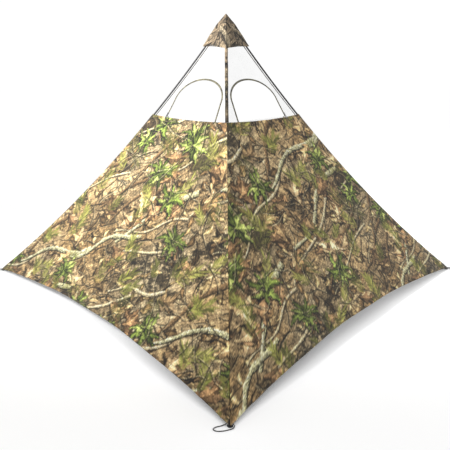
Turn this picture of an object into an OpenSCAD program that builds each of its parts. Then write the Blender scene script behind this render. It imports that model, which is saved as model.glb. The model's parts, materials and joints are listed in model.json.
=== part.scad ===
// Two-walled pop-up ground blind: a three-legged frame of bowed fibreglass poles that folds at a
// hub, two camouflage walls, see-through netting with a zipped window in each, and a peak cap.
// Frame: +Z up, origin on the ground under the middle of the object, the front leg towards -Y.

/* [Frame] */
// Height of the tip of the peak cap above the ground
peak_z = 1600; // [1595:1:1610]
// Distance from the hub's axis to the foot of each leg
foot_r = 1527; // [1500:1:1550]
// Depth of the inward bow of each pole
bow = 70; // [66:1:73]
// Angle in plan between the front leg and each side leg
wall_angle = 104.4; // [102:0.2:107]
// Diameter of the fibreglass poles
pole_d = 9.5; // [9:0.1:9.6]

/* [Hub] */
// Distance from the hub's axis to each leg's hinge pin
pivot_r = 30; // [29:0.5:31]
// Height of the hinge pins above the ground
pivot_z = 1542; // [1540:1:1543]
// Diameter of the hinge pins
pin_d = 4; // [3.5:0.5:5]

/* [Fabric] */
// Height of the top edge of the walls at the legs
rail_z = 1047; // [1040:1:1055]
// Height of the lower edge of the peak cap
cap_z = 1428; // [1420:1:1435]
// Lift of a wall's hem above the ground in the middle of its span
hem_lift = 66; // [40:1:90]
// Sag of a wall's top edge in the middle of its span
rail_sag = 10; // [5:1:15]
// Thickness of the wall fabric with its seams
cloth_t = 1.5; // [1.2:0.1:1.8]

/* [Window] */
// Half the width of a window at its foot
window_w = 222; // [212:1:230]
// Half the width of a window where its curved top starts
window_shoulder = 206; // [195:1:208]
// Height of the straight sides of a window
window_side = 88; // [75:1:95]
// Height of the curved top above the straight sides
window_rise = 111; // [100:1:120]
// Distance of a window's middle from its wall's middle, towards the front leg
window_shift = 33; // [25:1:40]
// Width of the zipper round a window
zip_w = 9; // [8:0.5:10]

/* [Hidden] */

camo = [0.52, 0.44, 0.31];
black = [0.07, 0.07, 0.07];
steel = [0.7, 0.7, 0.72];
olive = [0.36, 0.33, 0.22];
clear_net = [0.86, 0.86, 0.84, 0.4];

// Plan: the legs' directions from the hub.
front_az = 270;
left_az = front_az - wall_angle;
right_az = front_az + wall_angle;
half_wall = wall_angle / 2;
foot_pad_r = 12;

// Each leg is an arc in its own upright plane, bowed inwards, from hinge pin to foot.
pole_r = pole_d / 2;
foot_z = 9;
chord = [foot_r - pivot_r, foot_z - pivot_z];
chord_l = norm(chord);
arc_r = (chord_l * chord_l / 4 + bow * bow) / (2 * bow);
outward = [-chord[1], chord[0]] / chord_l;
arc_c = [foot_r + pivot_r, foot_z + pivot_z] / 2 + outward * (arc_r - bow);
arc_top = 360 + atan2(pivot_z - arc_c[1], pivot_r - arc_c[0]);
arc_span = 2 * asin(chord_l / 2 / arc_r);
arc_l = arc_r * arc_span * PI / 180;

// Where a leg's pieces start and end, in mm along the arc from the hinge pin.
neck_l = 15;
knuckle_l = 52;
pole_end = arc_l - 12;
tip_l = 42;
pocket_l = 76;
ferrule_l = 90;
joints_at = [0.37 * arc_l, 0.69 * arc_l];
rail_at = 642;
cap_at = 140;
sleeve_runs = [[rail_at, 776], [798, 1838], [1860, arc_l - pocket_l - 2]];

// Radii of the layers round a pole, and where the fabric lies outside the poles.
fit = 0.05;
ferrule_r = pole_r + 1.15;
sleeve_in = 6.1;
sleeve_r = 7.6;
bore_r = 2.6;
shock_r = 1.6;
cloth_in = 10.2;
net_in = 9.2;
net_t = 1;
zip_in = 8.2;
zip_t = 2.6;
tape_w = 8;
tape_edge = 30;

// The hub, set back so that the origin is in the middle of the object's depth: in front the
// walls' mitred seam reaches furthest, and behind it's the side legs' foot pads.
front_reach = foot_r + (cloth_in + cloth_t) / cos(half_wall);
back_reach = foot_r * -cos(wall_angle) + foot_pad_r;
hub_y = (front_reach - back_reach) / 2;
hub_r = 15;
hub_h = 18;
ear_w = 2.5;
ear_r = 5.5;
eye_w = 5;
slot_w = eye_w + 0.6;
pin_l = slot_w + 2 * ear_w;
plate_h = 2.5;
screw_r = 2.5;

function arc_angle(at) = arc_top + at / arc_l * arc_span;
function leg_r(z) = arc_c[0] - sqrt(arc_r * arc_r - (z - arc_c[1]) * (z - arc_c[1]));
function mix(a, b, t) = a + (b - a) * t;
function polar(r, az) = r * [cos(az), sin(az)];

// --- placing ---------------------------------------------------------------------------------

// Children are drawn with x away from the hub's axis, z up.
module on_leg(az) {
    translate([0, hub_y, 0]) rotate([0, 0, az]) children();
}

// Children are drawn with z down along the pole and x towards the inside of the blind.
module at_arc(at) {
    angle = arc_angle(at);
    translate([arc_c[0] + arc_r * cos(angle), 0, arc_c[1] + arc_r * sin(angle)])
        rotate([0, -angle, 0]) children();
}

// A round rod or tube that follows the leg's arc.
module arc_rod(from, to, r, hole = 0) {
    translate([arc_c[0], 0, arc_c[1]]) rotate([90, 0, 0]) rotate([0, 0, arc_angle(from)])
        rotate_extrude(angle = (to - from) / arc_l * arc_span, $fn = 360) translate([arc_r, 0])
            difference() {
                circle(r, $fn = 32);
                if (hole > 0) circle(hole, $fn = 32);
            }
}

// A point on the left wall: s along it from the front leg (-) to the side leg (+), at height z,
// and off outside the surface through the two poles.
wall_n = polar(1, front_az - half_wall);
wall_t = polar(1, front_az - half_wall - 90);
function half_span(z) = leg_r(z) * sin(half_wall);
function wall_pt(s, off, z) =
    let (p = [0, hub_y] + (leg_r(z) * cos(half_wall) + off) * wall_n + s * wall_t) [p[0], p[1], z];

// A closed sheet between two grids of points, given as functions of u and v from 0 to 1.
module sheet(nu, nv, outer, inner) {
    row = nu + 1;
    half = row * (nv + 1);
    grid = [for (j = [0 : nv]) for (i = [0 : nu]) [i / nu, j / nv]];
    points = concat([for (g = grid) outer(g[0], g[1])], [for (g = grid) inner(g[0], g[1])]);
    skins = [for (j = [0 : nv - 1]) for (i = [0 : nu - 1])
        let (a = j * row + i, b = a + 1, c = b + row, d = a + row)
            each [[a, b, c], [a, c, d], [b + half, a + half, c + half], [c + half, a + half, d + half]]];
    rim = concat([for (i = [0 : nu]) i], [for (j = [1 : nv]) j * row + nu],
        [for (i = [nu - 1 : -1 : 0]) nv * row + i], [for (j = [nv - 1 : -1 : 1]) j * row]);
    edge = [for (k = [0 : len(rim) - 1])
        let (a = rim[k], b = rim[(k + 1) % len(rim)])
            each [[b, a, a + half], [b, a + half, b + half]]];
    polyhedron(points, [for (f = concat(skins, edge)) [f[2], f[1], f[0]]], convexity = 8);
}

// --- hub -------------------------------------------------------------------------------------

module hub_body() {
    color(black) translate([0, hub_y, pivot_z]) difference() {
        union() {
            translate([0, 0, -hub_h / 2]) cylinder(r = hub_r, h = hub_h, $fn = 64);
            for (az = [front_az, left_az, right_az]) rotate([0, 0, az]) {
                translate([0, -pin_l / 2, -ear_r]) cube([pivot_r, pin_l, 2 * ear_r]);
                translate([pivot_r, pin_l / 2, 0]) rotate([90, 0, 0])
                    cylinder(r = ear_r, h = pin_l, $fn = 48);
            }
        }
        for (az = [front_az, left_az, right_az]) rotate([0, 0, az]) {
            translate([pivot_r - ear_r - 0.5, -slot_w / 2, -hub_h]) cube([3 * ear_r, slot_w, 2 * hub_h]);
            translate([pivot_r, pin_l, 0]) rotate([90, 0, 0])
                cylinder(d = pin_d, h = 2 * pin_l, $fn = 48);
        }
        translate([0, 0, -hub_h]) cylinder(r = screw_r, h = hub_h + 4, $fn = 48);
    }
}

module hub_plate() {
    color(black) translate([0, hub_y, pivot_z - hub_h / 2 - plate_h]) difference() {
        cylinder(r = hub_r, h = plate_h, $fn = 64);
        translate([0, 0, -1]) cylinder(r = screw_r, h = plate_h + 2, $fn = 48);
    }
}

module hub_screw() {
    color(steel) translate([0, hub_y, pivot_z - hub_h / 2 - plate_h]) {
        cylinder(r = screw_r, h = hub_h / 2 + plate_h + 4, $fn = 48);
        translate([0, 0, -3]) difference() {
            cylinder(r = 4.5, h = 3, $fn = 48);
            translate([0, 0, -1]) cylinder(r = 1.8, h = 3, $fn = 6);
        }
    }
}

module hub_pins() {
    color(steel) translate([0, hub_y, pivot_z]) for (az = [front_az, left_az, right_az])
        rotate([0, 0, az]) translate([pivot_r, pin_l / 2, 0]) rotate([90, 0, 0])
            cylinder(d = pin_d, h = pin_l, $fn = 48);
}

// --- peak cap --------------------------------------------------------------------------------

// The cap has a corner at each leg and one in the middle of its open side. The front corner
// follows its pole up to the pin, the others run straight to knees clear of the hub's ears, and
// all close to the tip from there.
cap_front_off = 20;
cap_low = [[0, 0], [132, 39], [0, 43]];
cap_knee = [[0, -pivot_r - cap_front_off], [54, 18.5], [0, 21.5]];
cap_tip = [[0, -2], [2, 0.5], [0, 2]];
cap_back_lift = 48;
cap_steps = 6;
cap_rows = 9;

function cap_corner(k, z) = z > pivot_z ? mix(cap_knee[k], cap_tip[k], (z - pivot_z) / (peak_z - pivot_z))
    : k == 0 ? [0, -leg_r(z) - cap_front_off]
    : mix(cap_low[k], cap_knee[k], (z - cap_z) / (pivot_z - cap_z));
function cap_vertex(k, z, inset) =
    k == 0 ? cap_corner(0, z) + [0, inset / cos(half_wall)]
    : k == 2 ? cap_corner(2, z) - [0, inset]
    : let (p = cap_corner(1, z) - [2 * inset, inset]) [k == 1 ? -p[0] : p[0], p[1]];
function cap_hem(k, t) = cap_z + (k == 1 ? cap_back_lift * t : k == 2 ? cap_back_lift * (1 - t) : 0);
function cap_pt(k, t, v, inset) =
    let (z = mix(cap_hem(k, t), peak_z - 2.5 * inset, v),
         p = mix(cap_vertex(k, z, inset), cap_vertex((k + 1) % 4, z, inset), t))
        [p[0], p[1] + hub_y, z];

module peak_cap() {
    around = 4 * cap_steps;
    half = around * (cap_rows + 1);
    function ring(v, inset) = [for (k = [0 : 3]) for (i = [0 : cap_steps - 1])
        cap_pt(k, i / cap_steps, v, inset)];
    points = concat([for (j = [0 : cap_rows]) each ring(j / cap_rows, 0)],
        [for (j = [0 : cap_rows]) each ring(0.985 * j / cap_rows, cloth_t)]);
    skins = [for (j = [0 : cap_rows - 1]) for (i = [0 : around - 1])
        let (a = j * around + i, b = j * around + (i + 1) % around, c = b + around, d = a + around)
            each [[a, b, c], [a, c, d], [b + half, a + half, c + half], [c + half, a + half, d + half]]];
    hem = [for (i = [0 : around - 1]) let (b = (i + 1) % around)
        each [[b, i, i + half], [b, i + half, b + half]]];
    top = cap_rows * around;
    tips = [[for (i = [0 : around - 1]) top + i], [for (i = [around - 1 : -1 : 0]) top + half + i]];
    color(camo) polyhedron(points, concat(skins, hem, tips), convexity = 8);
}

// --- walls and netting (drawn for the left side, mirrored for the right) ---------------------

hem_z = 11;
wall_end = 4;
function rail_height(u) = rail_z - rail_sag * (1 - (2 * u - 1) * (2 * u - 1));
function hem_height(u) = hem_z + hem_lift * (1 - (2 * u - 1) * (2 * u - 1));

// The walls meet in a mitre in front of the front pole and end just past the side pole.
function wall_skin(u, v, off) =
    let (z = mix(hem_height(u), rail_height(u), v),
         front = -half_span(z) - off * tan(half_wall) + fit)
        wall_pt(mix(front, half_span(z) + wall_end, u), off, z);

module wall() {
    color(camo) sheet(16, 12, function(u, v) wall_skin(u, v, cloth_in + cloth_t),
        function(u, v) wall_skin(u, v, cloth_in));
}

// Outline of a window, grown by some width, as a function of q from 0 to 1 round the arch.
side_share = 0.2;
function window_at(q, grow) = let (base = rail_z - rail_sag / 2, w = window_w + grow,
    sh = window_shoulder + grow, m = q < 0.5 ? q : 1 - q, sign = q < 0.5 ? -1 : 1)
    m < side_share ? [sign * mix(w, sh, m / side_share) - window_shift,
        mix(base, rail_z + window_side, m / side_share)]
    : let (a = 90 * (m - side_share) / (0.5 - side_share))
        [sign * sh * cos(a) - window_shift, rail_z + window_side + (window_rise + grow) * sin(a)];

// Outer border of the netting, run round in the same way.
function net_border(q) = let (m = q < 0.5 ? q : 1 - q, sign = q < 0.5 ? -1 : 1,
    top = cap_z - 0.5, base = rail_z - 0.2,
    z = m < 0.36 ? mix(base, top, m / 0.36) : top,
    reach = m < 0.36 ? 1 : 1 - (m - 0.36) / 0.14,
    edge = q < 0.5 ? half_span(z) - 3 : half_span(z) - tape_edge - tape_w + 1)
    [sign * edge * reach, z];

function net_skin(q, p, off) = let (a = window_at(q, zip_w), b = net_border(q), m = mix(a, b, p))
    wall_pt(m[0], off, m[1]);

module netting() {
    color(clear_net) sheet(44, 4, function(q, p) net_skin(1 - q, p, net_in + net_t),
        function(q, p) net_skin(1 - q, p, net_in));
}

module zipper() {
    function at(q, p, off) = let (m = window_at(1 - q, zip_w * p - fit)) wall_pt(m[0], off, m[1]);
    color(olive) sheet(44, 1, function(q, p) at(q, p, zip_in + zip_t), function(q, p) at(q, p, zip_in));
}

// The bound edge of the netting, beside the bare part of a side pole.
module edge_tape() {
    function at(u, v, off) = let (z = mix(rail_z - 0.2, cap_z - 0.5, v))
        wall_pt(half_span(z) - tape_edge - tape_w * (1 - u), off, z);
    color(camo) sheet(1, 14, function(u, v) at(u, v, net_in + 1.4), function(u, v) at(u, v, net_in - 0.6));
}

// The window's netting door hangs open inside, from a hinge line behind the wall's top edge.
hinge_off = 7;
flap_t = 1;
lean = atan((half_span(rail_z) - half_span(rail_z + window_side)) / tan(half_wall) / window_side);
slope = 1 / cos(lean);
flap_drop = 3;
module at_hinge() {
    p = wall_pt(-window_shift, hinge_off, rail_z);
    translate(p) multmatrix([[wall_t[0], wall_n[0], 0, 0], [wall_t[1], wall_n[1], 0, 0],
        [0, 0, -1, 0], [0, 0, 0, 1]]) children();
}

module flap_outline(grow) {
    w = window_w + grow;
    sh = window_shoulder + grow;
    polygon(concat([[-w, flap_drop], [w, flap_drop]],
        [for (a = [0 : 7.5 : 180])
            [sh * cos(a), slope * window_side + (slope * window_rise + grow) * sin(a)]]));
}

module flap_plate() {
    at_hinge() translate([0, flap_t / 2, 0]) rotate([90, 0, 0]) linear_extrude(flap_t) children();
}

module flap() {
    color(clear_net) flap_plate() flap_outline(-5);
}

module flap_tape() {
    color(olive) flap_plate() difference() {
        flap_outline(3);
        flap_outline(-5);
        translate([-2 * window_w, -window_w]) square([4 * window_w, window_w + flap_drop]);
    }
}

// The zipper's slider is parked at the foot of the window, on the side away from the front leg.
slider_l = 14;
slider_w = 9;
slider_t = 3.5;
slider_gap = 0.4;
slider_z = rail_z + 12;
splay = atan((window_w - window_shoulder) / window_side);
module at_slider() {
    s = mix(window_w, window_shoulder, (slider_z - rail_z) / window_side) + zip_w / 2;
    translate(wall_pt(s - window_shift, zip_in + zip_t + slider_gap, slider_z))
        multmatrix([[wall_t[0], wall_n[0], 0, 0], [wall_t[1], wall_n[1], 0, 0], [0, 0, 1, 0], [0, 0, 0, 1]])
            rotate([lean, 0, 0]) rotate([0, -splay, 0]) children();
}

module slider() {
    color(black) at_slider() {
        translate([-slider_w / 2, 0.3, -slider_l / 2]) cube([slider_w, slider_t, slider_l]);
        translate([-1.2, slider_t, -slider_l / 2 + 2]) cube([2.4, 2, slider_l - 5]);
    }
}

module pull() {
    color(black) at_slider() difference() {
        translate([-3.5, slider_t + 0.4, -slider_l / 2 - 22]) cube([7, 1.2, 24]);
        translate([0, 10, -slider_l / 2 - 17]) rotate([90, 0, 0]) cylinder(r = 1.8, h = 20, $fn = 24);
        translate([-1.3, 0, -slider_l / 2 + 1.8]) cube([2.6, 20, 4]);
    }
}

// --- legs ------------------------------------------------------------------------------------

module knuckle() {
    color(black) difference() {
        union() {
            translate([pivot_r, eye_w / 2, pivot_z]) rotate([90, 0, 0])
                cylinder(r = 5.2, h = eye_w, $fn = 48);
            at_arc(0) translate([-4.5, -eye_w / 2, 0]) cube([9, eye_w, neck_l + 2]);
            arc_rod(neck_l - 1, knuckle_l, 6.6);
        }
        translate([pivot_r, eye_w, pivot_z]) rotate([90, 0, 0])
            cylinder(d = pin_d + 2 * fit, h = 2 * eye_w, $fn = 48);
        arc_rod(neck_l + 3, knuckle_l + 1, pole_r + fit);
    }
}

module pole(k) {
    from = k == 0 ? neck_l + 3 : joints_at[k - 1];
    to = k == 2 ? pole_end : joints_at[k];
    color(black) arc_rod(from, to, pole_r, bore_r);
}

module ferrules() {
    color(steel) for (at = joints_at) arc_rod(at - ferrule_l / 2, at + ferrule_l / 2, ferrule_r, pole_r + fit);
}

module shock_cord() {
    color("white") arc_rod(neck_l + 3, pole_end, shock_r);
}

module pole_tip() {
    color(black) difference() {
        union() {
            arc_rod(arc_l - tip_l, arc_l, 6.6);
            translate([foot_r, 0, 0]) cylinder(r = foot_pad_r, h = 4, $fn = 64);
        }
        arc_rod(arc_l - tip_l - 1, pole_end, pole_r + fit);
    }
}

module sleeves() {
    color(camo) for (run = sleeve_runs) arc_rod(run[0], run[1], sleeve_r, sleeve_in);
}

module seam_sleeve() {
    color(camo) arc_rod(cap_at - 30, rail_at - 2, 8, sleeve_in);
}

module corner_pocket() {
    color(camo) arc_rod(arc_l - pocket_l, arc_l - 20, 7.8, 6.8);
}

// --- stake loops -----------------------------------------------------------------------------

// A loop's route from one side of the corner pocket to the other: away from the hub, to the
// leg's left, and up, from the foot. The front loop lies over to one side.
loop_d = 4;
side_route = [[-18, 9.2, 22], [-14, 9.5, 14], [-5, 12, 7.5], [6, 15, 6.5], [22, 15, 3], [38, 11, 2],
    [47, 0, 2], [38, -11, 2], [22, -15, 3], [6, -15, 6.5], [-5, -12, 7.5], [-14, -9.5, 14],
    [-18, -9.2, 22]];
front_route = [[-18, 9.2, 22], [-14, 9.5, 14], [-5, 12, 7.5], [6, 16, 6], [18, 12, 3], [28, -6, 2],
    [36, -30, 2], [36, -52, 2], [24, -64, 2], [10, -56, 2], [2, -38, 2], [-4, -22, 4], [-8, -14, 7],
    [-14, -9.5, 14], [-18, -9.2, 22]];

function spline(p, k, t) = let (n = len(p) - 1, a = p[max(k - 1, 0)], b = p[k],
    c = p[min(k + 1, n)], d = p[min(k + 2, n)])
    0.5 * (2 * b + (c - a) * t + (2 * a - 5 * b + 4 * c - d) * t * t + (3 * b - a - 3 * c + d) * t * t * t);

module swept(route, d, steps, sides) {
    n = len(route) - 1;
    path = [for (k = [0 : n - 1]) for (i = [0 : steps - 1]) spline(route, k, i / steps), route[n]];
    last = len(path) - 1;
    points = [for (k = [0 : last])
        let (along = path[min(k + 1, last)] - path[max(k - 1, 0)],
             t = along / norm(along), side = cross(t, [0, 0, 1]) / norm(cross(t, [0, 0, 1])), up = cross(side, t))
            for (i = [0 : sides - 1]) path[k] + d / 2 * (cos(360 * i / sides) * side + sin(360 * i / sides) * up)];
    skin = [for (k = [0 : last - 1]) for (i = [0 : sides - 1])
        let (a = k * sides + i, b = k * sides + (i + 1) % sides)
            each [[a, b, b + sides], [a, b + sides, a + sides]]];
    ends = [[for (i = [sides - 1 : -1 : 0]) i], [for (i = [0 : sides - 1]) last * sides + i]];
    polyhedron(points, [for (f = concat(skin, ends)) [for (i = [len(f) - 1 : -1 : 0]) f[i]]], convexity = 8);
}

module stake_loop(route) {
    color(black) translate([foot_r, 0, 0]) swept(route, loop_d, 2, 8);
}

// --- output ----------------------------------------------------------------------------------

hub_body();
hub_plate();
hub_screw();
hub_pins();
peak_cap();
wall();  // left_wall
mirror([1, 0, 0]) wall();  // right_wall
netting();  // left_netting
mirror([1, 0, 0]) netting();  // right_netting
zipper();  // left_zipper
mirror([1, 0, 0]) zipper();  // right_zipper
edge_tape();  // left_edge_tape
mirror([1, 0, 0]) edge_tape();  // right_edge_tape
flap();  // left_flap
mirror([1, 0, 0]) flap();  // right_flap
flap_tape();  // left_flap_tape
mirror([1, 0, 0]) flap_tape();  // right_flap_tape
slider();  // left_slider
mirror([1, 0, 0]) slider();  // right_slider
pull();  // left_pull
mirror([1, 0, 0]) pull();  // right_pull
on_leg(front_az) knuckle();  // front_knuckle
on_leg(left_az) knuckle();  // left_knuckle
on_leg(right_az) knuckle();  // right_knuckle
on_leg(front_az) pole(0);  // front_pole_upper
on_leg(left_az) pole(0);  // left_pole_upper
on_leg(right_az) pole(0);  // right_pole_upper
on_leg(front_az) pole(1);  // front_pole_middle
on_leg(left_az) pole(1);  // left_pole_middle
on_leg(right_az) pole(1);  // right_pole_middle
on_leg(front_az) pole(2);  // front_pole_lower
on_leg(left_az) pole(2);  // left_pole_lower
on_leg(right_az) pole(2);  // right_pole_lower
on_leg(front_az) ferrules();  // front_ferrules
on_leg(left_az) ferrules();  // left_ferrules
on_leg(right_az) ferrules();  // right_ferrules
on_leg(front_az) shock_cord();  // front_shock_cord
on_leg(left_az) shock_cord();  // left_shock_cord
on_leg(right_az) shock_cord();  // right_shock_cord
on_leg(front_az) pole_tip();  // front_pole_tip
on_leg(left_az) pole_tip();  // left_pole_tip
on_leg(right_az) pole_tip();  // right_pole_tip
on_leg(front_az) sleeves();  // front_sleeves
on_leg(left_az) sleeves();  // left_sleeves
on_leg(right_az) sleeves();  // right_sleeves
on_leg(front_az) seam_sleeve();  // front_seam_sleeve
on_leg(front_az) corner_pocket();  // front_corner_pocket
on_leg(left_az) corner_pocket();  // left_corner_pocket
on_leg(right_az) corner_pocket();  // right_corner_pocket
on_leg(front_az) stake_loop(front_route);  // front_stake_loop
on_leg(left_az) stake_loop(side_route);  // left_stake_loop
on_leg(right_az) stake_loop(side_route);  // right_stake_loop
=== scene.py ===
"""Looks of the pop-up ground blind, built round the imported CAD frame: printed camouflage cloth,
netting, bindings, poles and hub, in metres, in the CAD's own frame."""

import json
import math

import bpy
import numpy as np
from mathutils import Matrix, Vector


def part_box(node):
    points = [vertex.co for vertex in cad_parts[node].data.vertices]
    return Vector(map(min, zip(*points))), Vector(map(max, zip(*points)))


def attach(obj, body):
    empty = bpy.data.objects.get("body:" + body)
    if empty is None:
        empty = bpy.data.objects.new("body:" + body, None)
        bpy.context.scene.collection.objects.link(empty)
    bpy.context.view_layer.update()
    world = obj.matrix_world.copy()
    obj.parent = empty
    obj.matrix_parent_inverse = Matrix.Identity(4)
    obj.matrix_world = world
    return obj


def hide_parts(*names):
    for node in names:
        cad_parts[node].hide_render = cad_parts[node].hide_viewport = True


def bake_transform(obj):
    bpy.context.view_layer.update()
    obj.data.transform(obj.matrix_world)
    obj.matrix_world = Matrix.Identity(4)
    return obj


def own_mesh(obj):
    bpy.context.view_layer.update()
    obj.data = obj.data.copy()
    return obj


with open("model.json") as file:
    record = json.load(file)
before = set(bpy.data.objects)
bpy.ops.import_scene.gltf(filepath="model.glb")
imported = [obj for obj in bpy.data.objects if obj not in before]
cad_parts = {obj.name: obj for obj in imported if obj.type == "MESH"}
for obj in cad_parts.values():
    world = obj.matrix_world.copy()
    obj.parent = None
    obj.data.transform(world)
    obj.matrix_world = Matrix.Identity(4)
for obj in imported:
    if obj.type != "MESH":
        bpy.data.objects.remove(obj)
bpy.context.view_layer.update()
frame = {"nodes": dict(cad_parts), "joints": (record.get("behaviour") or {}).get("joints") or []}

# --- camera ----------------------------------------------------------------------------------

CAMERA_AT = (-0.039, -3.118, 1.337)
CAMERA_TILT = math.radians(90 - 14.2)
CAMERA_TURN = math.radians(-0.52)
LENS_MM = 51.2
VIEW_END = 100


def make_camera():
    data = bpy.data.cameras.new("camera")
    data.lens = LENS_MM
    data.clip_end = VIEW_END
    camera = bpy.data.objects.new("camera", data)
    camera.location = CAMERA_AT
    camera.rotation_euler = (CAMERA_TILT, 0, CAMERA_TURN)
    bpy.context.collection.objects.link(camera)
    bpy.context.scene.camera = camera


make_camera()

# --- the CAD's dimensions, repeated in metres ------------------------------------------------

LEGS = ("front", "left", "right")
SIDES = {"left": 1, "right": -1}
JOINTS = {j["name"]: j for j in frame["joints"]}
PIN = JOINTS["front_leg_fold"]["pos_m"]
# The legs' directions from the hub in degrees, half the angle between two legs, and their fold
AZIMUTH = {"front": 270.0, "left": 165.6, "right": 14.4}
HALF_WALL = math.radians(52.2)
LEG_FOLD = math.radians(40)
# Distance from the hub's axis and height of a pole's foot and of its hinge pin, and the pole's bow
FOOT_R = 1.527
FOOT_Z = 0.009
PIVOT_R = 0.030
PIVOT_Z = PIN[2]
HUB_Y = PIN[1] + PIVOT_R
BOW = 0.070
# Heights of the peak, the walls' upper edge, the cap's hem and the walls' hem at the poles, and how
# much lower the upper edge and higher the hem is at a wall's middle
PEAK_Z = 1.600
RAIL_Z = 1.047
RAIL_SAG = 0.010
CAP_Z = 1.428
HEM_Z = 0.011
HEM_LIFT = 0.066
# A window: half its width at its foot and at its shoulder, the height of its straight sides, the
# rise of its arch, its shift towards the front leg, and its zipper's width
WINDOW_W = 0.222
WINDOW_SHOULDER = 0.206
WINDOW_SIDE = 0.088
WINDOW_RISE = 0.111
WINDOW_SHIFT = 0.033
ZIP_W = 0.009
# How far outside the poles' plane the walls' inner face and the netting lie
CLOTH_IN = 0.0104
NET_OFF = 0.0096

# A pole is one circular arc from its pin to its foot
CHORD = np.array([FOOT_R - PIVOT_R, FOOT_Z - PIVOT_Z])
CHORD_L = np.hypot(*CHORD)
ARC_R = (CHORD_L ** 2 / 4 + BOW ** 2) / (2 * BOW)
ARC_C = (np.array([FOOT_R + PIVOT_R, FOOT_Z + PIVOT_Z]) / 2
         + np.array([-CHORD[1], CHORD[0]]) / CHORD_L * (ARC_R - BOW))
ARC_TOP = math.atan2(PIVOT_Z - ARC_C[1], PIVOT_R - ARC_C[0]) + 2 * math.pi
ARC_L = 2 * ARC_R * math.asin(CHORD_L / 2 / ARC_R)


def leg_r(z):
    """Distance of a pole's centreline from the hub's axis at height z."""
    return ARC_C[0] - np.sqrt(ARC_R ** 2 - (z - ARC_C[1]) ** 2)


def arc_at(z):
    """Length along a pole from its hinge pin down to height z."""
    return (np.arctan2(z - ARC_C[1], leg_r(z) - ARC_C[0]) + 2 * math.pi - ARC_TOP) * ARC_R


def half_span(z):
    """Half the width of a wall at height z, from its middle to a pole."""
    return leg_r(z) * math.sin(HALF_WALL)


def polar(azimuth):
    """Unit vector in the floor's plane."""
    return np.array([math.cos(azimuth), math.sin(azimuth)])


# Across the left wall outwards, and along it towards the left leg
WALL_N = polar(1.5 * math.pi - HALF_WALL)
WALL_T = polar(math.pi - HALF_WALL)


def wall_pt(s, off, z, side=1):
    """Point on a wall: s from its middle towards the side leg, off outside the poles' plane.
    side is 1 for the left wall and -1 for the right."""
    s, off, z = np.broadcast_arrays(*(np.asarray(a, float) for a in (s, off, z)))
    out = leg_r(z) * math.cos(HALF_WALL) + off
    x = out * WALL_N[0] + s * WALL_T[0]
    y = HUB_Y + out * WALL_N[1] + s * WALL_T[1]
    return np.stack([side * x, y, z], -1)


def leg_pt(leg, along, out, across):
    """Point by a leg: along from the hinge pin, out on the blind's outer side, across to the left
    seen from the hub."""
    turn = ARC_TOP + along / ARC_R
    r = ARC_C[0] + (ARC_R - out) * np.cos(turn)
    z = ARC_C[1] + (ARC_R - out) * np.sin(turn)
    az = math.radians(AZIMUTH[leg])
    x = r * math.cos(az) - across * math.sin(az)
    y = HUB_Y + r * math.sin(az) + across * math.cos(az)
    return np.stack([x, y, z], -1)


def smooth(t):
    """Smooth step from 0 to 1."""
    t = np.clip(t, 0, 1)
    return t * t * (3 - 2 * t)


# --- stake loops (free cords) ----------------------------------------------------------------

LOOP_D = 0.004
CORD_SIDES = 14
CORD_END_R = 0.0001
ROUTE_STEPS = 8
# Routes in millimetres from the foot: outwards, across the leg and up
SIDE_ROUTE = [(-18, 9.2, 22), (-14, 9.5, 14), (-5, 12, 7.5), (6, 15, 6.5), (22, 15, 3), (38, 11, 2),
              (47, 0, 2), (38, -11, 2), (22, -15, 3), (6, -15, 6.5), (-5, -12, 7.5), (-14, -9.5, 14),
              (-18, -9.2, 22)]
FRONT_ROUTE = [(-18, 9.2, 22), (-14, 9.5, 14), (-5, 12, 7.5), (6, 16, 6), (18, 12, 3), (28, -6, 2),
               (36, -30, 2), (36, -52, 2), (24, -64, 2), (10, -56, 2), (2, -38, 2), (-4, -22, 4),
               (-8, -14, 7), (-14, -9.5, 14), (-18, -9.2, 22)]


def spline(points, steps):
    """Points along a smooth curve through points, steps to each stretch."""
    p = np.asarray(points, float)
    n = len(p) - 1
    line = []
    for k in range(n):
        a, b, c, d = p[max(k - 1, 0)], p[k], p[min(k + 1, n)], p[min(k + 2, n)]
        for t in np.arange(steps) / steps:
            line.append(0.5 * (2 * b + (c - a) * t + (2 * a - 5 * b + 4 * c - d) * t * t
                               + (3 * b - a - 3 * c + d) * t ** 3))
    return np.array(line + [p[n]])


def new_piece(name, points, faces, materials, slots=None, uv=None, colour=None):
    """A smooth-shaded mesh; uv is a point's place on the cloth in metres."""
    mesh = bpy.data.meshes.new(name)
    points, faces = np.asarray(points, float), np.asarray(faces, int)
    mesh.vertices.add(len(points))
    mesh.vertices.foreach_set("co", points.ravel())
    mesh.loops.add(faces.size)
    mesh.loops.foreach_set("vertex_index", faces.ravel())
    mesh.polygons.add(len(faces))
    mesh.polygons.foreach_set("loop_start", np.arange(len(faces)) * faces.shape[1])
    mesh.polygons.foreach_set("loop_total", np.full(len(faces), faces.shape[1]))
    mesh.update(calc_edges=True)
    mesh.polygons.foreach_set("use_smooth", np.ones(len(faces), bool))
    for m in materials:
        mesh.materials.append(m)
    if slots is not None:
        mesh.polygons.foreach_set("material_index", np.asarray(slots, np.int32))
    if uv is not None:
        layer = mesh.uv_layers.new(name="cloth")
        layer.data.foreach_set("uv", np.asarray(uv, np.float32)[faces.ravel()].ravel())
    if colour is not None:
        attribute = mesh.color_attributes.new("Print", "FLOAT_COLOR", "POINT")
        rgba = np.concatenate([colour, np.ones((len(points), 1))], 1)
        attribute.data.foreach_set("color", rgba.astype(np.float32).ravel())
    mesh.validate()
    piece = bpy.data.objects.new(name, mesh)
    bpy.context.collection.objects.link(piece)
    return piece


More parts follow.
